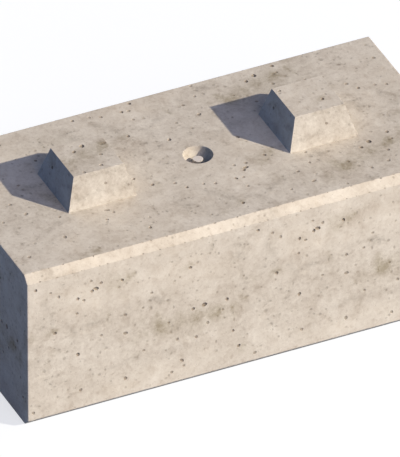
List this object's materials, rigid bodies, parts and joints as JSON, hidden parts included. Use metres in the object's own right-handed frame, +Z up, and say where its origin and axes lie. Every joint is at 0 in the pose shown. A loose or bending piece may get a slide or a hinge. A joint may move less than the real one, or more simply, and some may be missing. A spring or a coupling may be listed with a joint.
{
  "type": "interlocking concrete block",
  "caption": "Interlocking precast concrete wall block with chamfered long edges, pyramid studs on top, matching sockets underneath and a cast-in lifting anchor in a bowl recess.",
  "frame": {"origin": "centre of the underside, between the two sockets, on the floor", "axes": "+X along the block's length, -Y out of the front face, +Z up out of the studs"},
  "size_m": [1.6, 0.8, 0.715],
  "materials": {
    "cast_concrete": "mould-cast concrete with air pores and light stains",
    "anchor_steel": "bare forged steel, dulled by cement dust"
  },
  "bodies": {
    "root": {"concrete_block": "cast_concrete", "lifting_anchor": "anchor_steel"}
  },
  "joints": []
}
